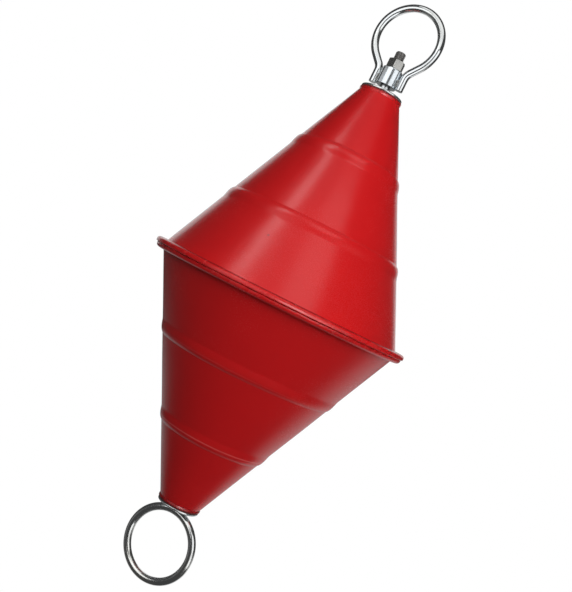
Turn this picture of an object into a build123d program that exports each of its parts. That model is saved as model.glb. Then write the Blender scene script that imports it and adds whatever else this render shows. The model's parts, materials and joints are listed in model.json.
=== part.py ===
from build123d import *
import os
from math import cos, radians, sin

# Biconical mooring buoy in millimetres, +Z up, origin on its axis at the seam of its two shells.

# Float: two conical half shells that meet at the flange
half_height = 344.5
base_radius = 193.0
end_radius = 30.8
wall = 3.0
end_wall = 6.0
flange_overhang = 12.0
flange_step = 2.0
flange_thickness = 7.4
flange_nose_fillet = 4.0
flange_seam_chamfer = 0.7
rib_spacing = 114.5
rib_count = 2
rib_width = 14.0
rib_height = 2.1
lip_overhang = 3.3
lip_depth = 6.0
lip_flare = 2.5
lip_fillet = 1.5

# Large washers that close both ends of the float
washer_diameter = 66.0
washer_thickness = 3.5
washer_edge_chamfer = 0.8

# Through rod with its nut
rod_diameter = 16.0
rod_projection = 13.6
rod_end_chamfer = 1.6
rod_clearance = 0.3
nut_across_flats = 24.0
nut_height = 14.8
nut_sides = 6
nut_chamfer_angle = 30.0
nut_turn = 44.0

# Rings are bent from this round bar
bar_diameter = 12.0

# Lower ring, welded to the foot of the rod
ring_radius = 55.5
ring_drop = 2.3
ring_saddle = 3.0
weld_leg = 3.5
weld_neck = 1.2
weld_clearance = 0.4

# Upper bow, welded to a hub that turns on the rod below the nut
hub_diameter = 32.0
hub_height = 27.2
hub_gap = 10.6
hub_edge_chamfer = 0.8
nut_clearance = 0.3
bow_radius = 51.2
bow_flare = 42.0
bow_bend_radius = 18.0
bow_leg_straight = 19.0
bow_weld_gap = 0.8
bow_weld_width = 9.0
bow_weld_margin = 3.0

# Sizes that follow
bar_radius = bar_diameter / 2
rod_radius = rod_diameter / 2
hub_radius = hub_diameter / 2
cone_slope = (base_radius - end_radius) / half_height
lip_radius = end_radius + lip_overhang
upper_flange_radius = base_radius + flange_overhang
lower_flange_radius = upper_flange_radius - flange_step
bore_radius = rod_radius + rod_clearance
washer_outer_height = half_height + washer_thickness
hub_bottom_height = washer_outer_height + hub_gap
nut_bottom_height = hub_bottom_height + hub_height + nut_clearance
rod_end_height = nut_bottom_height + nut_height + rod_projection
ring_top_height = -washer_outer_height - ring_drop
weld_top_height = -washer_outer_height - weld_clearance
ring_center_height = ring_top_height - bar_radius - ring_radius
rod_foot_height = ring_top_height - ring_saddle
bow_leg_offset = hub_radius + bow_weld_gap + bar_radius


def cone_radius(height):
    """Radius of the plain cone's outside at a height above the flange."""
    return base_radius - cone_slope * height


def upright(profile):
    """Solid of revolution about the buoy's axis from a profile drawn as (radius, height)."""
    return revolve(Plane.XZ * profile, Axis.Z)


def disc(radius, bottom, height, bore, rim_chamfer):
    """Flat round piece on the axis with a hole through it and both outer rims broken."""
    place = Align.CENTER, Align.CENTER, Align.MIN
    ring = Cylinder(radius, height, align=place) - Cylinder(bore, height, align=place)
    rims = ring.edges().filter_by(GeomType.CIRCLE).group_by(SortBy.RADIUS)[-1]
    return Pos(0, 0, bottom) * chamfer(rims, rim_chamfer)


def half_shell(flange_radius):
    """Upper half of the float: round-nosed flange, ribbed cone, lip and flat end bored for the rod."""
    seam = flange_radius, 0
    nose = flange_radius, flange_thickness
    corner = cone_radius(flange_thickness), flange_thickness
    outline = [Line((base_radius - wall, 0), seam), Line(seam, nose), Line(nose, corner)]
    for number in range(rib_count):
        middle = rib_spacing * (number + 1)
        low = middle - rib_width / 2
        high = middle + rib_width / 2
        rib_foot = cone_radius(low), low
        rib_crest = cone_radius(middle) + rib_height, middle
        rib_head = cone_radius(high), high
        outline.append(Line(corner, rib_foot))
        outline.append(ThreePointArc(rib_foot, rib_crest, rib_head))
        corner = rib_head
    neck_height = half_height - lip_depth
    lip_edge = lip_radius, half_height
    inner_top = half_height - end_wall
    outline += Polyline(
        corner,
        (cone_radius(neck_height), neck_height),
        (lip_radius, neck_height + lip_flare),
        lip_edge,
        (bore_radius, half_height),
        (bore_radius, inner_top),
        (cone_radius(inner_top) - wall, inner_top),
        (base_radius - wall, 0),
    ).edges()
    profile = make_face(outline)
    profile = fillet(profile.vertices().sort_by_distance(nose)[0], flange_nose_fillet)
    profile = fillet(profile.vertices().sort_by_distance(lip_edge)[0], lip_fillet)
    profile = chamfer(profile.vertices().sort_by_distance(seam)[0], flange_seam_chamfer)
    return upright(profile)


def lower_ring():
    """Closed ring of round bar, upright in the XZ plane."""
    return Pos(0, 0, ring_center_height) * Rot(90, 0, 0) * Torus(ring_radius, bar_radius)


def through_rod():
    """Rod from its saddle on the lower ring to its chamfered end inside the bow."""
    length = rod_end_height - rod_foot_height
    place = Align.CENTER, Align.CENTER, Align.MIN
    rod = Pos(0, 0, rod_foot_height) * Cylinder(rod_radius, length, align=place)
    rod = chamfer(rod.edges().sort_by(Axis.Z)[-1], rod_end_chamfer)
    return rod - lower_ring()


def ring_weld():
    """Fillet weld round the foot of the rod, saddled on the ring's bar."""
    run = Polyline(
        (0, rod_foot_height),
        (rod_radius + weld_leg, rod_foot_height),
        (rod_radius + weld_neck, weld_top_height),
        (0, weld_top_height),
        close=True,
    )
    return upright(make_face(run)) - through_rod() - lower_ring()


def nut():
    """Hexagon nut with both faces chamfered to a circle."""
    circle = nut_across_flats / 2
    slope = sin(radians(nut_chamfer_angle)) / cos(radians(nut_chamfer_angle))
    corner = circle / cos(radians(180 / nut_sides))
    drop = (corner - circle) * slope
    prism = extrude(RegularPolygon(corner, nut_sides, rotation=nut_turn), nut_height)
    turned = upright(
        make_face(
            Polyline(
                (rod_radius, 0),
                (circle, 0),
                (corner, drop),
                (corner, nut_height - drop),
                (circle, nut_height),
                (rod_radius, nut_height),
                close=True,
            )
        )
    )
    return Pos(0, 0, nut_bottom_height) * (prism & turned)


def swivel_hub():
    """Sleeve that turns on the rod."""
    return disc(hub_radius, hub_bottom_height, hub_height, bore_radius, hub_edge_chamfer)


def end_washer(bottom):
    """Large washer that lies flat on one end of the float."""
    return disc(washer_diameter / 2, bottom, washer_thickness, bore_radius, washer_edge_chamfer)


def bow():
    """Omega of round bar: straight legs beside the hub, flared out into a large loop."""
    flare = radians(bow_flare)
    bend_reach = bow_bend_radius * (1 - cos(flare))
    slant = (bow_radius * cos(flare) - bow_leg_offset - bend_reach) / sin(flare)
    foot = Line((-bow_leg_offset, hub_bottom_height), (-bow_leg_offset, hub_bottom_height + bow_leg_straight))
    first_bend = JernArc(foot @ 1, foot % 1, bow_bend_radius, bow_flare)
    first_slant = Line(first_bend @ 1, first_bend @ 1 + (first_bend % 1) * slant)
    loop = JernArc(first_slant @ 1, first_slant % 1, bow_radius, -180 - 2 * bow_flare)
    last_slant = Line(loop @ 1, loop @ 1 + (loop % 1) * slant)
    last_bend = JernArc(last_slant @ 1, last_slant % 1, bow_bend_radius, bow_flare)
    last_leg = Line(last_bend @ 1, (bow_leg_offset, hub_bottom_height))
    path = Plane.XZ * Wire([foot, first_bend, first_slant, loop, last_slant, last_bend, last_leg])
    return sweep(Plane(path @ 0, z_dir=path % 0) * Circle(bar_radius), path)


def bow_welds():
    """Two upright weld beads that fill the space between the hub and the bow's legs."""
    height = bow_leg_straight - 2 * bow_weld_margin
    beads = []
    for side in (-1, 1):
        run = Pos(side * bow_leg_offset / 2, 0) * Rectangle(bow_leg_offset, bow_weld_width)
        run -= Circle(hub_radius)
        run -= Pos(side * bow_leg_offset, 0) * Circle(bar_radius)
        beads.append(Pos(0, 0, hub_bottom_height + bow_weld_margin) * extrude(run, height))
    return Compound(beads)


pieces = {
    "upper_shell": half_shell(upper_flange_radius),
    "lower_shell": mirror(half_shell(lower_flange_radius), Plane.XY),
    "top_washer": end_washer(half_height),
    "bottom_washer": end_washer(-washer_outer_height),
    "rod": through_rod(),
    "lower_ring": lower_ring(),
    "ring_weld": ring_weld(),
    "nut": nut(),
    "swivel_hub": swivel_hub(),
    "bow": bow(),
    "bow_welds": bow_welds(),
}

os.makedirs("parts", exist_ok=True)
for name, piece in pieces.items():
    export_step(piece, f"parts/{name}.step")
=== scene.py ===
import bpy
import json
import math
import numpy as np
from mathutils import Matrix, Vector


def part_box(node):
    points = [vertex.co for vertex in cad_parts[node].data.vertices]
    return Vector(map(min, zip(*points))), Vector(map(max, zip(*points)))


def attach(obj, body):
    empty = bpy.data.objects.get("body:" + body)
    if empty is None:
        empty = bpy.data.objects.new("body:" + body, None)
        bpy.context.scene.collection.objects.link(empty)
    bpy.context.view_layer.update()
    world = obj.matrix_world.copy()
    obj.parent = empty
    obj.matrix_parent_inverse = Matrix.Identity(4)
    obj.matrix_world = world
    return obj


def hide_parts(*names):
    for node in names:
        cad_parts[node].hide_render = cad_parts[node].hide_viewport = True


# Biconical mooring buoy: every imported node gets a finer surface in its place, all sizes in metres.
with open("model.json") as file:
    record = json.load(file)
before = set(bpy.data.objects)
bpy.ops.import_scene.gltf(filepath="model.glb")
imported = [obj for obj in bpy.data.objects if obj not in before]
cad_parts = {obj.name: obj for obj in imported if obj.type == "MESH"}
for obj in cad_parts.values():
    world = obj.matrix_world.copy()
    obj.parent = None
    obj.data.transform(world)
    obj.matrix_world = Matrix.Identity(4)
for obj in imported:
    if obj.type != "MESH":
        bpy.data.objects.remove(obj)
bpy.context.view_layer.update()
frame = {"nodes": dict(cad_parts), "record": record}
print("frame loaded", sorted(frame["nodes"]))


# Mesh helpers

def addPiece(name, points, closedU, closedV, node, slot, material, sharpAngle=40.0):
    # A surface is an array of points (rows along U, columns along V); rows and columns can wrap round
    rows, columns = points.shape[:2]
    index = np.arange(rows * columns).reshape(rows, columns)
    if closedU:
        index = np.concatenate([index, index[:1]], axis=0)
    if closedV:
        index = np.concatenate([index, index[:, :1]], axis=1)
    quads = np.stack([index[:-1, :-1], index[1:, :-1], index[1:, 1:], index[:-1, 1:]], axis=-1).reshape(-1, 4)
    addFaces(name, points.reshape(-1, 3), quads, node, slot, material, sharpAngle)


def addFaces(name, points, quads, node, slot, material, sharpAngle):
    mesh = bpy.data.meshes.new(name)
    mesh.vertices.add(len(points))
    mesh.vertices.foreach_set("co", np.ascontiguousarray(points, np.float32).ravel())
    mesh.loops.add(quads.size)
    mesh.loops.foreach_set("vertex_index", np.ascontiguousarray(quads, np.int32).ravel())
    mesh.polygons.add(len(quads))
    mesh.polygons.foreach_set("loop_start", np.arange(0, quads.size, 4, dtype=np.int32))
    mesh.update(calc_edges=True)
    mesh.validate()
    mesh.polygons.foreach_set("use_smooth", np.ones(len(mesh.polygons), bool))
    mesh.set_sharp_from_angle(angle=math.radians(sharpAngle))
    mesh.materials.append(material)
    piece = bpy.data.objects.new(name, mesh)
    bpy.context.scene.collection.objects.link(piece)
    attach(piece, bodyOf[node])
    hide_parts(node)
    litBy["red" if slot == "red_plastic" else "metal"].objects.link(piece)
    if slot == "hub_steel":
        litBy["hub"].objects.link(piece)


# Lamps that are linked to red, metal or hub light only the pieces in that collection
litBy = {finish: bpy.data.collections.new(finish + "Pieces") for finish in ("red", "metal", "hub")}
bodyOf = {node: body for body, nodes in frame["record"]["behaviour"]["bodies"].items() for node in nodes}


def roundCorners(corners, steps=6):
    # Closed outline of (radius, height, fillet): each corner becomes an arc tangent to its two sides
    corners = np.asarray(corners, float)
    place, size = corners[:, :2], corners[:, 2]
    before = np.roll(place, 1, axis=0) - place
    after = np.roll(place, -1, axis=0) - place
    before /= np.linalg.norm(before, axis=1, keepdims=True)
    after /= np.linalg.norm(after, axis=1, keepdims=True)
    half = np.arccos(np.clip((before * after).sum(axis=1), -1, 1)) / 2
    bisector = before + after
    bisector /= np.maximum(np.linalg.norm(bisector, axis=1, keepdims=True), 1e-9)
    middle = place + bisector * (size / np.sin(half))[:, None]
    start = place + before * (size / np.tan(half))[:, None] - middle
    sweep = np.pi - 2 * half
    turn = np.sign(before[:, 0] * after[:, 1] - before[:, 1] * after[:, 0])
    angle = turn[:, None] * -sweep[:, None] * np.linspace(0, 1, steps)
    x = start[:, :1] * np.cos(angle) - start[:, 1:] * np.sin(angle)
    y = start[:, :1] * np.sin(angle) + start[:, 1:] * np.cos(angle)
    return (middle[:, None, :] + np.stack([x, y], axis=-1)).reshape(-1, 2)


def densify(outline, step):
    # Closed outline with extra points along its long sides, none further apart than the step
    loop = np.concatenate([outline, outline[:1]])
    length = np.concatenate([[0], np.cumsum(np.linalg.norm(np.diff(loop, axis=0), axis=1))])
    keep = np.concatenate([[True], np.diff(length) > 1e-7])
    loop, length = loop[keep], length[keep]
    spots = np.union1d(length, np.arange(0, length[-1], step))[:-1]
    spots = spots[np.concatenate([[True], np.diff(spots) > 1e-6])]
    return np.stack([np.interp(spots, length, loop[:, 0]), np.interp(spots, length, loop[:, 1])], axis=-1)


def lathe(outline, count):
    # A closed outline of (radius, height) carried round the Z axis; outline anticlockwise gives outward faces
    angle = np.linspace(0, 2 * np.pi, count, endpoint=False)
    radius, height = outline[None, :, 0], outline[None, :, 1]
    x = radius * np.cos(angle)[:, None]
    y = radius * np.sin(angle)[:, None]
    return np.stack([x, y, np.broadcast_to(height, x.shape)], axis=-1)


# Shader maths

class Wire:
    # One socket of a node tree; operators on it add Math nodes
    def __init__(self, tree, socket=None):
        self.tree = tree
        self.socket = socket

    def make(self, kind, settings=None, inputs=None, out=0):
        node = self.tree.nodes.new(kind)
        for key, value in (settings or {}).items():
            setattr(node, key, value)
        for key, value in (inputs or {}).items():
            if isinstance(value, Wire):
                self.tree.links.new(value.socket, node.inputs[key])
            else:
                node.inputs[key].default_value = value
        return Wire(self.tree, node.outputs[out])

    def maths(self, operation, first, second=0.0):
        return self.make("ShaderNodeMath", {"operation": operation}, {0: first, 1: second})

    def __add__(self, other):
        return self.maths("ADD", self, other)

    def __radd__(self, other):
        return self.maths("ADD", other, self)

    def __sub__(self, other):
        return self.maths("SUBTRACT", self, other)

    def __rsub__(self, other):
        return self.maths("SUBTRACT", other, self)

    def __mul__(self, other):
        return self.maths("MULTIPLY", self, other)

    def __rmul__(self, other):
        return self.maths("MULTIPLY", other, self)

    def call(self, operation):
        return self.maths(operation, self)

    def smooth(self, low, high):
        # 0 below low, 1 above high, eased between
        settings = {"interpolation_type": "SMOOTHSTEP"}
        return self.make("ShaderNodeMapRange", settings, {"Value": self, "From Min": low, "From Max": high})

    def blend(self, first, second):
        # Colour between two colours, with this value as the share of the second
        inputs = {0: self, 6: first, 7: second}
        return self.make("ShaderNodeMix", {"data_type": "RGBA"}, inputs, out=2)

    def noise(self, scale, detail=2.0, roughness=0.5, stretch=(1, 1, 1)):
        # Noise of 0 to 1 on this vector
        place = self.make("ShaderNodeMapping", None, {"Vector": self, "Scale": stretch})
        inputs = {"Vector": place, "Scale": scale, "Detail": detail, "Roughness": roughness}
        return self.make("ShaderNodeTexNoise", None, inputs)

    def axes(self):
        # The vector's X, Y and Z
        parts = self.make("ShaderNodeSeparateXYZ", None, {"Vector": self}).socket.node.outputs
        return [Wire(self.tree, part) for part in parts]


def newMaterial(name, constants):
    # A Principled material with its constant sockets set; gives the material, object coordinates and the shader
    material = bpy.data.materials.new(name)
    material.use_nodes = True
    tree = material.node_tree
    shader = next(node for node in tree.nodes if node.type == "BSDF_PRINCIPLED")
    for key, value in constants.items():
        shader.inputs[key].default_value = value
    place = Wire(tree).make("ShaderNodeTexCoord", out="Object")
    return material, place, shader


def plug(shader, **links):
    names = {"colour": "Base Color", "roughness": "Roughness", "normal": "Normal"}
    for key, wire in links.items():
        wire.tree.links.new(wire.socket, shader.inputs[names[key]])


# The camera's place comes before the pieces, because one mark on the float is set by the photograph

cameraSettings = {
    "azimuth": 24.0,
    "elevation": 1.0,
    "distance": 1.36,
    "pan": 0.255,
    "tilt": 0.408,
    "roll": 26.32,
    "focalPixels": 900.4,
    "frameHeight": 592,
    "sensorHeight": 36.0,
    "clipStart": 0.01,
}


def turnAbout(vector, axis, degrees):
    return Matrix.Rotation(math.radians(degrees), 3, axis) @ vector


azimuth = math.radians(cameraSettings["azimuth"])
elevation = math.radians(cameraSettings["elevation"])
towardCamera = np.array([math.sin(azimuth), -math.cos(azimuth), 0.0])
viewRight = np.array([math.cos(azimuth), math.sin(azimuth), 0.0])


def addCamera(settings):
    back = Vector(towardCamera * math.cos(elevation) + np.array([0, 0, math.sin(elevation)]))
    place = back * settings["distance"]
    right = Vector(viewRight)
    up = back.cross(right)
    back = turnAbout(back, up, -settings["pan"])
    right = turnAbout(right, up, -settings["pan"])
    back = turnAbout(back, right, settings["tilt"])
    up = back.cross(right)
    right, up = turnAbout(right, back, settings["roll"]), turnAbout(up, back, settings["roll"])
    data = bpy.data.cameras.new("camera")
    data.sensor_fit = "VERTICAL"
    data.sensor_height = settings["sensorHeight"]
    data.lens = settings["sensorHeight"] * settings["focalPixels"] / settings["frameHeight"]
    data.clip_start = settings["clipStart"]
    camera = bpy.data.objects.new("camera", data)
    camera.matrix_world = Matrix((right, up, back)).transposed().to_4x4()
    camera.location = place
    bpy.context.scene.collection.objects.link(camera)
    bpy.context.scene.camera = camera


addCamera(cameraSettings)
print("camera set")


# Red plastic float

floatSettings = {
    "halfHeight": 0.3445,
    "baseRadius": 0.193,
    "endRadius": 0.0308,
    "wall": 0.003,
    "endWall": 0.006,
    "lipOverhang": 0.0033,
    "lipDepth": 0.006,
    "lipFlare": 0.0025,
    "lipEdge": {1: 0.0016, -1: 0.0027},
    "flangeThickness": 0.0074,
    "flangeNose": {1: 0.004, -1: 0.0052},  # of the upper and of the lower lip, as in the next two lines
    "flangeSeam": {1: 0.0010, -1: 0.0018},
    "flangeLean": {1: 0.0, -1: 0.0018},  # how far the lip's face draws in
    "flangeRoot": 0.0008,
    "ribs": {1: (0.1142, 0.2305), -1: (0.1113, 0.2294)},  # heights on the upper and on the lower cone
    "ribHeight": {1: 0.0021, -1: 0.0018},
    "ribSteep": 0.0058,
    "ribGentle": 0.0150,
    "ribLean": 0.0016,  # from a rib's middle to its crest
    "ribWander": 0.0004,
    "ribPower": 2.4,  # of a rib's steep side
    "ribPhase": (2.1, 0.8),  # by the rib's number and by the half
    "ribVigour": (0.08, 0.06),  # how much its height varies, slowly and quickly
    "boreRadius": 0.0083,
    "insideEdge": 0.0002,
    "neckFillet": 0.0006,
    "flareFillet": 0.0012,
    "boreEdge": 0.0003,
    "innerFillet": 0.0008,
    "wobble": 0.00022,
    "wobbleStart": 0.04,  # as shares of the half's height
    "wobbleLength": 0.9,
    "sharpAngle": 60.0,
    "outlineStep": 0.0045,
    "turns": 288,
}

plasticSettings = {
    # each noise: scale, detail, roughness
    "cloud": (5.0, 3.0, 0.55),
    "grain": (900.0, 2.0, 0.6),
    "peel": (220.0, 1.0, 0.5),
    "dent": (13.0, 2.0, 0.5),
    "scuff": (60.0, 4.0, 0.65),
    "cloudRange": (0.3, 0.7),
    "reds": ((0.54, 0.0065, 0.0080, 1), (0.58, 0.0080, 0.0095, 1)),
    # each mark: the two values between which it comes, its share and its colour
    "rub": ((0.200, 0.205), 0.08, (0.62, 0.09, 0.085, 1)),  # by radius
    "rubScuff": (0.45, 0.75),
    "blemish": ((0.0011, 0.0022), 0.7, (0.09, 0.006, 0.006, 1)),  # by distance, going
    "blemishPlace": (-0.052, 0.149, 0.074),  # right of, toward the camera from and above the origin
    # painted shade darkening both end lips toward the flat ends, beside the washers
    "endLipShade": ((0.3410, 0.3424), 0.75, (0.06, 0.008, 0.008, 1)),  # by height above or below the seam
    # painted shade on the lower end lip, darker toward its edge
    "lowerLipShade": ((0.3370, 0.3392), 0.65, (0.14, 0.008, 0.009, 1)),  # by height below the seam
    # painted shade: a dark band in the crease where the upper flange meets the cone
    "flangeRootShade": ((0.0060, 0.0067), 0.5, (0.10, 0.005, 0.006, 1)),  # by height above the seam
    "flangeRootShadeEnds": (0.0076, 0.0086),
    # pale lines on the lower ribs' crests: partly rub wear, partly a painted highlight
    "crestWearAndSheen": (0.0004, 0.0015),  # by distance from a pale crest line, going
    "crestWearAndSheenColour": (0.85, 0.16, 0.15, 1),
    "crestWearAndSheenLines": ((0.1129, 0.08), (0.2287, 0.38)),  # for each rib below the seam, the line's height and share
    # roughness: plain, then what the painted end-lip shade, cloud, grain and rub add
    "roughness": (0.21, 0.3, 0.06, 0.05, 0.06),
    # height of the bump: share of grain and of dent beside the peel
    "tooth": (0.3, 14.0),
    "bump": {"Strength": 0.12, "Distance": 0.0004},
}


def redPlastic(settings):
    # Clouded red, rubbed pale on the flange's edge, with painted shade on both end lips, the lower end lip and the
    # flange root, pale crest lines on the lower ribs that are partly rub wear and partly painted highlight, and one
    # blemish
    s = settings
    material, place, shader = newMaterial("redPlastic", {"IOR": 1.5, "Specular IOR Level": 0.5})
    x, y, z = place.axes()
    cloud, grain, peel, dent, scuff = (place.noise(*s[key]) for key in ("cloud", "grain", "peel", "dent", "scuff"))
    colour = cloud.smooth(*s["cloudRange"]).blend(*s["reds"])

    span, share, tone = s["rub"]
    rub = (x * x + y * y).call("SQRT").smooth(*span) * scuff.smooth(*s["rubScuff"])
    colour = (rub * share).blend(colour, tone)

    span, share, tone = s["blemish"]
    right, ahead, above = s["blemishPlace"]
    mark = viewRight * right + towardCamera * ahead + np.array([0, 0, above])
    away = place.make("ShaderNodeVectorMath", {"operation": "DISTANCE"}, {0: place, 1: tuple(mark)}, out="Value")
    colour = ((1.0 - away.smooth(*span)) * share).blend(colour, tone)

    # painted shade: both end lips darkened toward the flat ends
    span, share, tone = s["endLipShade"]
    endLipShadeMask = z.call("ABSOLUTE").smooth(*span)
    colour = (endLipShadeMask * share).blend(colour, tone)
    # painted shade: the lower end lip darkened from its neck to its edge
    span, share, tone = s["lowerLipShade"]
    colour = ((0 - z).smooth(*span) * share).blend(colour, tone)
    # pale crest lines on the lower ribs, partly rub wear and partly a painted highlight
    for line, share in s["crestWearAndSheenLines"]:
        crestWearAndSheen = 1.0 - (z + line).call("ABSOLUTE").smooth(*s["crestWearAndSheen"])
        colour = (crestWearAndSheen * share).blend(colour, s["crestWearAndSheenColour"])
    # painted shade in the crease at the flange root
    span, share, tone = s["flangeRootShade"]
    flangeRootShadeMask = z.smooth(*span) * (1.0 - z.smooth(*s["flangeRootShadeEnds"]))
    colour = (flangeRootShadeMask * share).blend(colour, tone)

    plain, byEndLipShade, byCloud, byGrain, byRub = s["roughness"]
    roughness = plain + endLipShadeMask * byEndLipShade + cloud * byCloud + grain * byGrain + rub * byRub
    grainShare, dentShare = s["tooth"]
    tooth = grain * grainShare + peel + dent * dentShare
    bump = place.make("ShaderNodeBump", None, dict(s["bump"], Height=tooth))
    plug(shader, colour=colour, roughness=roughness, normal=bump)
    return material


def shellOutline(settings, flangeRadius, sign, ribs):
    # Outline of the upper half as (radius, height): seam, flange nose, plain cone, lip, flat end, bore, inner cone
    s = settings
    slope = (s["baseRadius"] - s["endRadius"]) / s["halfHeight"]
    neck = s["halfHeight"] - s["lipDepth"]
    lip = s["endRadius"] + s["lipOverhang"]
    inside = s["halfHeight"] - s["endWall"]
    corners = [
        (s["baseRadius"] - s["wall"], 0.0, s["insideEdge"]),
        (flangeRadius, 0.0, s["flangeSeam"][sign]),
        (flangeRadius - s["flangeLean"][sign], s["flangeThickness"], s["flangeNose"][sign]),
        (s["baseRadius"] - slope * s["flangeThickness"], s["flangeThickness"], s["flangeRoot"]),
        (s["baseRadius"] - slope * neck, neck, s["neckFillet"]),
        (lip, neck + s["lipFlare"], s["flareFillet"]),
        (lip, s["halfHeight"], s["lipEdge"][sign]),
        (s["boreRadius"], s["halfHeight"], s["boreEdge"]),
        (s["boreRadius"], inside, s["boreEdge"]),
        (s["baseRadius"] - slope * inside - s["wall"], inside, s["innerFillet"]),
    ]
    outline = densify(roundCorners(corners), s["outlineStep"])
    # closer rows on and beside each rib
    fine = (np.asarray(ribs)[:, None] + np.linspace(-1.25, 1.25, 51) * s["ribGentle"]).ravel()
    outer = np.abs(outline[:, 0] - (s["baseRadius"] - slope * outline[:, 1])) < 1e-5
    first, last = np.flatnonzero(outer)[[0, -1]]
    heights = np.union1d(outline[first:last + 1, 1], fine)
    heights = heights[(heights >= outline[first, 1]) & (heights <= outline[last, 1])]
    heights = heights[np.concatenate([[True], np.diff(heights) > 1e-5])]
    cone = np.stack([s["baseRadius"] - slope * heights, heights], axis=-1)
    before, after = outline[:first], outline[last + 1:]
    onCone = np.concatenate([np.zeros(len(before), bool), np.ones(len(cone), bool), np.zeros(len(after), bool)])
    return np.concatenate([before, cone, after]), onCone


def ribRelief(settings, ribs, angle, height, sign):
    # Rib: crest * (1 - side to the power) toward the end, with a crease at its foot, and crest * (1 - side squared)
    # squared toward the flange. Its place wanders and its height varies as sines of the angle round the cone
    s = settings
    relief = np.zeros(np.broadcast(angle, height).shape)
    for number, rib in enumerate(ribs):
        phase = s["ribPhase"][0] * number + s["ribPhase"][1] * sign
        wander = s["ribWander"] * (np.sin(2 * angle + phase) + 0.5 * np.sin(5 * angle - 3 * phase))
        slow, quick = s["ribVigour"]
        vigour = 1 + slow * np.sin(3 * angle + 2 * phase) + quick * np.sin(11 * angle - phase)
        middle = height - rib - wander - s["ribLean"]
        side = np.clip(np.abs(middle) / np.where(middle > 0, s["ribSteep"], s["ribGentle"]), 0, 1)
        form = np.where(middle > 0, 1 - side ** s["ribPower"], (1 - side ** 2) ** 2)
        relief += s["ribHeight"][sign] * vigour * form
    return relief


def addFloat(settings, material):
    for name, node, sign in (("upperShell", "upper_shell", 1), ("lowerShell", "lower_shell", -1)):
        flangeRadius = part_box(node)[1][0]
        ribs = settings["ribs"][sign]
        outline, onCone = shellOutline(settings, flangeRadius, sign, ribs)
        points = lathe(outline, settings["turns"])
        angle = np.arctan2(points[..., 1], points[..., 0])
        height = points[..., 2]
        # slow waves in the moulded wall: sines of the angle and the height, none at the flange or the ends
        share = height / settings["halfHeight"]
        calm = np.sin(np.pi * np.clip((share - settings["wobbleStart"]) / settings["wobbleLength"], 0, 1))
        wave = np.sin(3 * angle + 4 * share + sign) + 0.6 * np.sin(7 * angle - 9 * share + 2 * sign)
        wave = wave + 0.4 * np.sin(2 * angle + 17 * share)
        swell = settings["wobble"] * wave * calm + ribRelief(settings, ribs, angle, height, sign) * onCone
        points[..., :2] *= (1 + swell / np.hypot(points[..., 0], points[..., 1]))[..., None]
        if sign < 0:
            points = points[::-1] * np.array([1, 1, -1])
        addPiece(name, points, True, True, node, "red_plastic", material, settings["sharpAngle"])


addFloat(floatSettings, redPlastic(plasticSettings))
print("float made")


# Zinc-plated steel

zincSettings = {
    # each noise: scale, detail, roughness
    "patch": (35.0, 4.0, 0.6),
    "speck": (1400.0, 2.0, 0.6),
    "streak": (300.0, 3.0, 0.6),
    "tint": (18.0, 2.0, 0.5),
    "dullRange": (0.42, 0.72),
    "tintRange": (0.35, 0.65),
    "streakRoughness": 0.06,
    "shadeAndToneRoughness": 0.2,
    "speckShare": 0.4,
    "bumpDistance": 0.0003,
}


def zincSteel(name, finish):
    # Bright plating: patches of duller zinc, fine drawn streaks and a little bluish and straw tint
    s = zincSettings
    material, place, shader = newMaterial(name, {"Metallic": 1.0})
    patch, speck, tint = (place.noise(*s[key]) for key in ("patch", "speck", "tint"))
    streak = place.noise(*s["streak"], finish["streakStretch"])
    dull = patch.smooth(*s["dullRange"])
    colour = tint.smooth(*s["tintRange"]).blend(finish["cool"], finish["warm"])
    colour = (dull * finish["dullShare"]).blend(colour, finish["dull"])
    # a colour band by height: painted shade on the bow's leg ends, the hub's underside and the nut's lower part; on
    # the rod, a grey tone at its top end
    toneStartHeight, toneFullHeight, tone = finish["shadeAndTone"]
    shadeAndTone = place.axes()[2].smooth(toneStartHeight, toneFullHeight)
    colour = shadeAndTone.blend(colour, tone)
    roughness = finish["roughness"] + dull * finish["roughRange"]
    roughness = roughness + streak * s["streakRoughness"] + shadeAndTone * s["shadeAndToneRoughness"]
    height = speck * s["speckShare"] + streak
    bump = {"Strength": finish["bump"], "Distance": s["bumpDistance"], "Height": height}
    plug(shader, colour=colour, roughness=roughness, normal=place.make("ShaderNodeBump", None, bump))
    return material


barFinish = {
    "cool": (0.76, 0.79, 0.81, 1), "warm": (0.79, 0.81, 0.80, 1), "dull": (0.45, 0.46, 0.45, 1), "dullShare": 0.35,
    "streakStretch": (1, 1, 1), "roughness": 0.07, "roughRange": 0.10, "bump": 0.03,
    "shadeAndTone": (1.0, 2.0, (0.4, 0.4, 0.4, 1)),  # height where the painted shade or grey tone begins, height where it is full, its colour; higher than any bar, so none
}
# painted shade: the bow's leg ends, and through hubFinish the hub's underside, go dark below this height
bowFinish = dict(barFinish, shadeAndTone=(0.3592, 0.3586, (0.04, 0.045, 0.045, 1)))
ringFinish = dict(barFinish, cool=(0.70, 0.72, 0.73, 1), warm=(0.74, 0.74, 0.71, 1), roughness=0.15, dullShare=0.6)
# keeps the bow's painted shade, dark on the hub's underside
hubFinish = dict(bowFinish, cool=(0.74, 0.79, 0.83, 1), streakStretch=(1, 1, 0.1), bump=0.04, roughness=0.14)
# the rod's top end turns grey above this height
rodFinish = dict(barFinish, roughness=0.2, shadeAndTone=(0.3862, 0.3872, (0.42, 0.41, 0.40, 1)))
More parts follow.
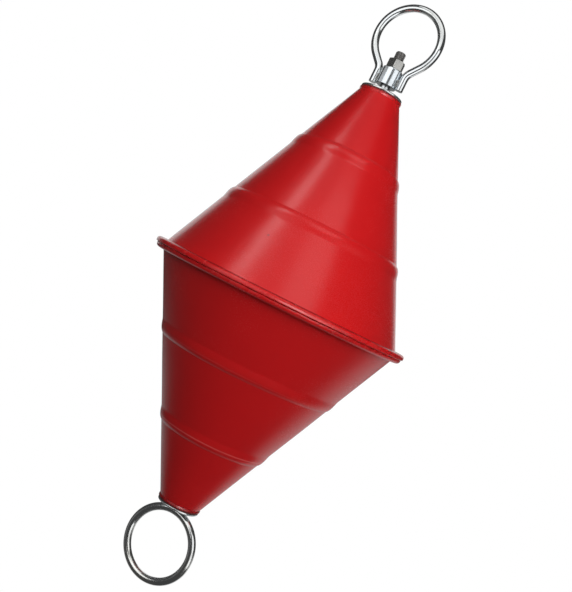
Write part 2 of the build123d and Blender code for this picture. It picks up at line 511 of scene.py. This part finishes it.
# painted shade: the nut goes dark toward its lower face, where it sits over the hub
nutFinish = dict(
    barFinish, cool=(0.52, 0.52, 0.50, 1), warm=(0.58, 0.56, 0.52, 1), roughness=0.22, dullShare=0.6,
    shadeAndTone=(0.3868, 0.3860, (0.05, 0.05, 0.045, 1)),
)
washerFinish = dict(barFinish, roughness=0.22, streakStretch=(1, 1, 6))
weldFinish = dict(
    barFinish, cool=(0.62, 0.62, 0.61, 1), warm=(0.66, 0.64, 0.60, 1), roughness=0.26, bump=0.3,
)


# Large washers that lie on both flat ends

washerSettings = {"edge": 0.0013, "turns": 160}


def addWashers(settings, material):
    for name, node in (("topWasher", "top_washer"), ("bottomWasher", "bottom_washer")):
        low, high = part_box(node)
        bore = floatSettings["boreRadius"]
        corners = [(bore, low[2]), (high[0], low[2]), (high[0], high[2]), (bore, high[2])]
        outline = roundCorners([(*corner, settings["edge"]) for corner in corners])
        addPiece(name, lathe(outline, settings["turns"]), True, True, node, "washer_steel", material)


addWashers(washerSettings, zincSteel("washerZinc", washerFinish))


# Through rod with its rolled thread

rodSettings = {
    "chamfer": 0.0016, "threadPitch": 0.002, "threadDepth": 0.0011, "threadLength": 0.034, "threadRunout": 0.004,
    "toothGain": 1.25, "crestFlat": 0.1, "turns": 72, "rowStep": 0.00022,
    "footRow": 0.05, "lastPlainRow": 0.001,  # rows on the plain rod: above its foot and below the thread
}


def addRod(settings, material):
    # Radius at angle a and height z: a triangle wave of z / pitch - a / turn, cut into the rod near its top, with
    # flat crests and roots, and fading out at its lower end
    low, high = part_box("rod")
    radius = high[0]
    threadStart = high[2] - settings["threadLength"]
    plain = np.array([low[2], low[2] + settings["footRow"], threadStart - settings["lastPlainRow"]])
    heights = np.concatenate([plain, np.arange(threadStart, high[2], settings["rowStep"]), [high[2]]])
    angle = np.linspace(0, 2 * np.pi, settings["turns"], endpoint=False)
    phase = heights[None, :] / settings["threadPitch"] - angle[:, None] / (2 * np.pi)
    tooth = np.abs(2 * (phase - np.floor(phase)) - 1)
    fade = np.clip((heights - threadStart) / settings["threadRunout"], 0, 1)
    cut = settings["threadDepth"] * np.clip(tooth * settings["toothGain"] - settings["crestFlat"], 0, 1) * fade
    end = np.clip(heights - (high[2] - settings["chamfer"]), 0, None)
    around = np.minimum(radius - cut, radius - end[None, :])
    around = np.concatenate([np.zeros((len(angle), 1)), around, np.zeros((len(angle), 1))], axis=1)
    heights = np.concatenate([heights[:1], heights, heights[-1:]])
    x, y = around * np.cos(angle)[:, None], around * np.sin(angle)[:, None]
    points = np.stack([x, y, np.broadcast_to(heights, x.shape)], axis=-1)
    addPiece("throughRod", points, True, False, "rod", "rod_steel", material)


addRod(rodSettings, zincSteel("rodZinc", rodFinish))


# Hexagon nut

nutSettings = {
    "acrossFlats": 0.024, "turn": 44.0, "chamferAngle": 30.0, "boreChamfer": 0.0012, "turns": 240, "chamferRows": 8,
    "threadOverlap": 0.0003, "faceInset": 0.0003, "sharpAngle": 18.0,
}


def addNut(settings, material):
    # Outer radius at angle a is the hexagon's, flats / cos(a - nearest flat), cut back near both faces to a cone
    low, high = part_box("nut")
    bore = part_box("rod")[1][0] - settings["threadOverlap"]
    flats = settings["acrossFlats"] / 2
    angle = np.linspace(0, 2 * np.pi, settings["turns"], endpoint=False) + math.radians(settings["turn"])
    sector = np.pi / 3
    fromFlat = (angle - math.radians(settings["turn"])) % sector - sector / 2
    hexagon = flats / np.cos(fromFlat)
    slope = math.tan(math.radians(settings["chamferAngle"]))
    corner = flats / math.cos(sector / 2)
    drop = (corner - flats) * slope
    rise = np.linspace(0, drop, settings["chamferRows"])
    heights = np.concatenate([low[2] + rise, high[2] - rise[::-1]])
    faceGap = np.minimum(heights - low[2], high[2] - heights)
    cone = flats - settings["faceInset"] + faceGap / slope
    around = np.minimum(hexagon[:, None], cone[None, :])
    ring = np.ones((len(angle), 1))
    mouth = settings["boreChamfer"]
    wide = ring * (bore + mouth)
    radius = np.concatenate([ring * bore, wide, around, wide, ring * bore], axis=1)
    heights = np.concatenate([[low[2] + mouth, low[2]], heights, [high[2], high[2] - mouth]])
    x, y = radius * np.cos(angle)[:, None], radius * np.sin(angle)[:, None]
    points = np.stack([x, y, np.broadcast_to(heights, x.shape)], axis=-1)
    addPiece("hexNut", points, True, True, "nut", "nut_steel", material, settings["sharpAngle"])


addNut(nutSettings, zincSteel("nutZinc", nutFinish))


# Swivel hub, turned on a lathe

hubSettings = {"chamfer": 0.0008, "turns": 128, "groove": 0.00008, "groovePitch": 0.0013, "rowStep": 0.0006}


def addHub(settings, material):
    low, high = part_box("swivel_hub")
    bore = floatSettings["boreRadius"]
    corners = [(bore, low[2]), (high[0], low[2]), (high[0], high[2]), (bore, high[2])]
    outline = roundCorners([(*corner, settings["chamfer"]) for corner in corners])
    outline = densify(outline, settings["rowStep"])
    # tool marks: the outside sinks by up to the groove as a sine of the height
    outside = outline[:, 0] > high[0] - 1e-6
    wave = np.sin(outline[outside, 1] * 2 * np.pi / settings["groovePitch"])
    outline[outside, 0] -= settings["groove"] * (0.5 + 0.5 * wave)
    addPiece("swivelHub", lathe(outline, settings["turns"]), True, True, "swivel_hub", "hub_steel", material)


addHub(hubSettings, zincSteel("hubZinc", hubFinish))


# Bent bar: a circle carried along a flat path in the XZ plane

# The cap's edge is a share of the bar's radius
barSettings = {"turns": 40, "step": 0.0012, "capEdge": 0.14, "sharpAngle": 50.0}


def addBar(name, path, barRadius, closed, node, material):
    # Point = path + radius * (cos a * inward + sin a * Y), with inward square to the path in its plane
    ahead = np.roll(path, -1, axis=0) - np.roll(path, 1, axis=0)
    if not closed:
        ahead[0], ahead[-1] = path[1] - path[0], path[-1] - path[-2]
    ahead /= np.linalg.norm(ahead, axis=1, keepdims=True)
    inward = np.stack([ahead[:, 1], -ahead[:, 0]], axis=-1)
    angle = np.linspace(0, 2 * np.pi, barSettings["turns"], endpoint=False)
    across = barRadius * np.cos(angle)
    x = path[:, :1] + inward[:, :1] * across
    z = path[:, 1:] + inward[:, 1:] * across
    y = np.broadcast_to(barRadius * np.sin(angle), x.shape)
    points = np.stack([x, y, z], axis=-1)
    if not closed:
        # flat ends: a ring just inside the edge, then the middle
        caps = [np.broadcast_to(points[end].mean(axis=0), points[:1].shape) for end in (0, -1)]
        inner = barSettings["capEdge"]
        edges = [points[:1] * (1 - inner) + caps[0] * inner, points[-1:] * (1 - inner) + caps[1] * inner]
        points = np.concatenate([caps[0], edges[0], points, edges[1], caps[1]])
    addPiece(name, points, closed, True, node, "bar_steel", material, barSettings["sharpAngle"])


bowSettings = {"flare": 42.0, "bendRadius": 0.018, "legStraight": 0.019, "legRows": 24, "slantRows": 12}


def arcPoints(centre, radius, start, end):
    count = max(int(abs(end - start) * radius / barSettings["step"]), 4)
    angle = np.linspace(start, end, count)
    return np.stack([centre[0] + radius * np.cos(angle), centre[1] + radius * np.sin(angle)], axis=-1)


def addBow(settings, material):
    # Path: leg, outward bend, slant, loop, slant, bend, leg, all tangent, mirrored about the axis
    low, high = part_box("bow")
    barRadius = high[1]
    loopRadius = high[0] - barRadius
    loopHeight = high[2] - barRadius - loopRadius
    flare = math.radians(settings["flare"])
    bend = settings["bendRadius"]
    bendHeight = low[2] + settings["legStraight"]
    join = np.array([loopRadius * math.cos(flare), loopHeight - loopRadius * math.sin(flare)])
    slantRise = join[1] - bendHeight - bend * math.sin(flare)
    legX = join[0] - slantRise * math.tan(flare) - bend * (1 - math.cos(flare))
    legHeights = np.linspace(low[2], bendHeight, settings["legRows"])
    leg = np.stack([np.full(len(legHeights), legX), legHeights], axis=-1)
    turn = arcPoints((legX + bend, bendHeight), bend, math.pi, math.pi - flare)
    slant = np.linspace(turn[-1], join, settings["slantRows"])
    loop = arcPoints((0, loopHeight), loopRadius, -flare, math.pi / 2)
    half = np.concatenate([leg, turn[1:], slant[1:], loop[1:]])
    path = np.concatenate([half, half[-2::-1] * np.array([-1, 1])])
    addBar("omegaBow", path, barRadius, False, "bow", material)
    return legX, barRadius


def addRing(material):
    low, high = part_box("lower_ring")
    barRadius = high[1]
    ringRadius = (high[2] - low[2]) / 2 - barRadius
    centre = (0.0, (high[2] + low[2]) / 2)
    path = arcPoints(centre, ringRadius, 0, -2 * math.pi)[:-1]
    addBar("lowerRing", path, barRadius, True, "lower_ring", material)


legX, barRadius = addBow(bowSettings, zincSteel("bowZinc", bowFinish))
addRing(zincSteel("ringZinc", ringFinish))
print("bent bars made")


# Welds, as rippled beads

weldSettings = {
    "ripple": 0.001, "ripplePitch": 0.0021, "rippleSlant": 0.0009, "bulge": 0.0011, "halfWidth": 0.0031,
    "endPower": 8, "rowStep": 0.0003, "turns": 48, "sharpAngle": 70.0,
    "ringTube": 0.0026, "ringRipple": 0.08, "ringRipples": 34, "ringOffset": 0.0006, "ringDip": 0.0006,
    "ringTurns": 160, "ringTubeTurns": 24,
}


def addBowWelds(settings, material):
    # Two upright beads of oval section, swollen and thinned along their height by slanted ripples
    low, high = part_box("bow_welds")
    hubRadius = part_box("swivel_hub")[1][0]
    middleX = (hubRadius + legX - barRadius) / 2
    heights = np.arange(low[2], high[2], settings["rowStep"])
    along = (heights - low[2]) / (heights[-1] - low[2])
    ends = np.sqrt(np.clip(1 - (2 * along - 1) ** settings["endPower"], 0, 1))
    angle = np.linspace(0, 2 * np.pi, settings["turns"], endpoint=False)
    slanted = heights[:, None] + settings["rippleSlant"] * np.cos(angle) ** 2
    swell = 1 + settings["ripple"] / high[1] * np.sin(2 * np.pi * slanted / settings["ripplePitch"])
    beads, faces = [], []
    for side in (-1, 1):
        x = side * middleX + settings["halfWidth"] * np.cos(angle) * swell * ends[:, None]
        y = (high[1] + settings["bulge"]) * np.sin(angle) * swell * ends[:, None]
        z = np.broadcast_to(heights[:, None], x.shape)
        points = np.stack([x, y, z], axis=-1)
        index = np.arange(points[..., 0].size).reshape(points.shape[:2]) + sum(len(bead) for bead in beads)
        index = np.concatenate([index, index[:, :1]], axis=1)
        quads = np.stack([index[:-1, :-1], index[:-1, 1:], index[1:, 1:], index[1:, :-1]], axis=-1)
        beads.append(points.reshape(-1, 3))
        faces.append(quads.reshape(-1, 4))
    points, faces = np.concatenate(beads), np.concatenate(faces)
    addFaces("bowWelds", points, faces, "bow_welds", "weld_steel", material, settings["sharpAngle"])


def addRingWeld(settings, material):
    # A ring of weld round the rod's foot, its tube rippled round the turn and dipping beside the bar
    low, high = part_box("ring_weld")
    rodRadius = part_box("rod")[1][0]
    turn = np.linspace(0, 2 * np.pi, settings["ringTurns"], endpoint=False)
    angle = np.linspace(0, 2 * np.pi, settings["ringTubeTurns"], endpoint=False)
    tube = settings["ringTube"] * (1 + settings["ringRipple"] * np.sin(settings["ringRipples"] * turn))
    middle = rodRadius + settings["ringOffset"]
    dip = (low[2] + high[2]) / 2 + settings["ringDip"] * np.cos(2 * turn)
    radius = middle + tube[:, None] * np.cos(angle)
    x, y = radius * np.cos(turn)[:, None], radius * np.sin(turn)[:, None]
    z = dip[:, None] + tube[:, None] * np.sin(angle)
    points = np.stack([x, y, z], axis=-1)
    addPiece("ringWeld", points, True, True, "ring_weld", "weld_steel", material, settings["sharpAngle"])


weldZinc = zincSteel("weldZinc", weldFinish)
addBowWelds(weldSettings, weldZinc)
addRingWeld(weldSettings, weldZinc)
print("welds made")


# Lights and surroundings

stageSettings = {
    # each lamp: azimuth right of the camera, elevation, lean, distance, width, height, level and what it lights:
    # matt surfaces, every reflection, or only the reflections in the red, metal or hub pieces
    "lamps": {
        "keyPanel": (10, 27.5, 0, 1.25, 2.4, 1.0, 1.41, "diffuse"),
        "floorBounce": (128, -45, 0, 1.1, 1.5, 1.5, 0.60, "diffuse"),
        "frontBounce": (40, -48, 0, 1.1, 1.5, 1.5, 0.10, "diffuse"),
        "backPanel": (180, 45, 0, 2.6, 2.0, 2.0, 0.30, "diffuse"),
        "broadPanel": (-10, 52, 0, 2.6, 3.2, 0.95, 0.64, "red"),
        "leftStrip": (-51.5, 47.0, 12, 2.6, 0.33, 0.95, 4.9, "red"),
        "rightPatch": (18, 49, 0, 2.6, 1.3, 0.6, 1.3, "red"),
        "zenithPanel": (0, 88, 0, 2.6, 2.4, 2.2, 0.25, "red"),
        "nadirPanel": (180, -78, 0, 2.0, 1.6, 1.2, 0.25, "red"),
        "leftRim": (-161, 12, 0, 2.6, 1.6, 1.6, 1.05, "red"),
        "rightRim": (163, 14, 0, 2.6, 1.2, 1.1, 0.95, "red"),
        "leftWall": (-36, 13.1, 0, 1.54, 1.34, 1.15, 1.25, "gloss"),
        "rightWall": (39.5, 10.4, 0, 1.525, 1.25, 1.15, 1.25, "gloss"),
        "lipStrip": (34, -12, 0, 2.6, 1.1, 0.7, 3.0, "red"),
        "lipBand": (12, 0, 0, 2.6, 1.1, 0.6, 9.0, "red"),
        "rightLow": (39.5, -25, 0, 1.655, 1.25, 0.8, 1.25, "metal"),
        "topWall": (-12, 52.4, 0, 2.12, 2.2, 1.9, 1.0, "metal"),
        "rightBackWall": (112, -26.6, 0, 2.24, 3.0, 1.0, 0.35, "metal"),
        "leftLow": (-80, -26.6, 0, 2.24, 1.4, 1.0, 0.10, "metal"),
        "hubSide": (-84, 8, 0, 1.8, 1.6, 1.2, 0.6, "hub"),
        "backStrip": (180, 13, 0, 2.2, 1.1, 2.4, 0.8, "metal"),
    },
    "ambient": 0.06,
    "lowBack": 0.45,
    "lowBackRight": 0.18,
    "glowDrop": 1.5,  # how the glow's edge leans down and to the right
    "glowSide": 0.18,
    "glowEdge": (1.1, 1.32),
    "glowFoot": (-0.97, -0.75),
    "glowFront": (0.1, 0.6),
}


def addLamp(name, settings):
    # A panel facing the origin. Diffuse level is light / pi on a face square to it; gloss level is its own radiance
    azimuthRight, lift, lean, distance, width, height, level, lights = settings
    turn, rise, lean = math.radians(azimuthRight), math.radians(lift), math.radians(lean)
    flat = viewRight * math.sin(turn) + towardCamera * math.cos(turn)
    back = flat * math.cos(rise) + np.array([0, 0, math.sin(rise)])
    side = np.cross([0, 0, 1], back)
    side /= np.linalg.norm(side)
    side = side * math.cos(lean) - np.cross(back, side) * math.sin(lean)
    data = bpy.data.lights.new(name, "AREA")
    data.shape = "RECTANGLE"
    data.size, data.size_y = width, height
    data.energy = level * math.pi * (math.pi * distance ** 2 if lights == "diffuse" else width * height)
    data.cycles.use_multiple_importance_sampling = lights != "diffuse"
    lamp = bpy.data.objects.new(name, data)
    lamp.matrix_world = Matrix(np.stack([side, np.cross(back, side), back], axis=1).tolist()).to_4x4()
    lamp.location = back * distance
    lamp.visible_camera = False
    lamp.visible_diffuse = lights == "diffuse"
    lamp.visible_glossy = lights != "diffuse"
    if lights in litBy:
        lamp.light_linking.receiver_collection = litBy[lights]
    bpy.context.scene.collection.objects.link(lamp)


def addSurroundings(settings):
    # White to the camera; otherwise dim, with a glow low behind the object like light off a pale floor: it lies
    # where ahead - drop * height + side * right is past its edge, fades straight below and ends beside the object
    world = bpy.data.worlds.new("studio")
    bpy.context.scene.world = world
    world.use_nodes = True
    tree = world.node_tree
    start = Wire(tree).make("ShaderNodeTexCoord", out="Generated")
    along = {"operation": "DOT_PRODUCT"}
    ahead = start.make("ShaderNodeVectorMath", along, {0: start, 1: tuple(-towardCamera)}, out="Value")
    right = start.make("ShaderNodeVectorMath", along, {0: start, 1: tuple(viewRight)}, out="Value")
    z = start.axes()[2]
    low = (ahead - settings["glowDrop"] * z + settings["glowSide"] * right).smooth(*settings["glowEdge"])
    low = low * z.smooth(*settings["glowFoot"]) * ahead.smooth(*settings["glowFront"])
    glow = settings["ambient"] + low * (settings["lowBack"] + settings["lowBackRight"] * right)
    seen = start.make("ShaderNodeLightPath", out="Is Camera Ray")
    strength = seen + (1 - seen) * glow
    background = tree.nodes["Background"]
    background.inputs["Color"].default_value = (1, 1, 1, 1)
    tree.links.new(strength.socket, background.inputs["Strength"])


for lampName, lampSettings in stageSettings["lamps"].items():
    addLamp(lampName, lampSettings)
addSurroundings(stageSettings)
bpy.context.scene.view_settings.view_transform = "Standard"
print("stage set")
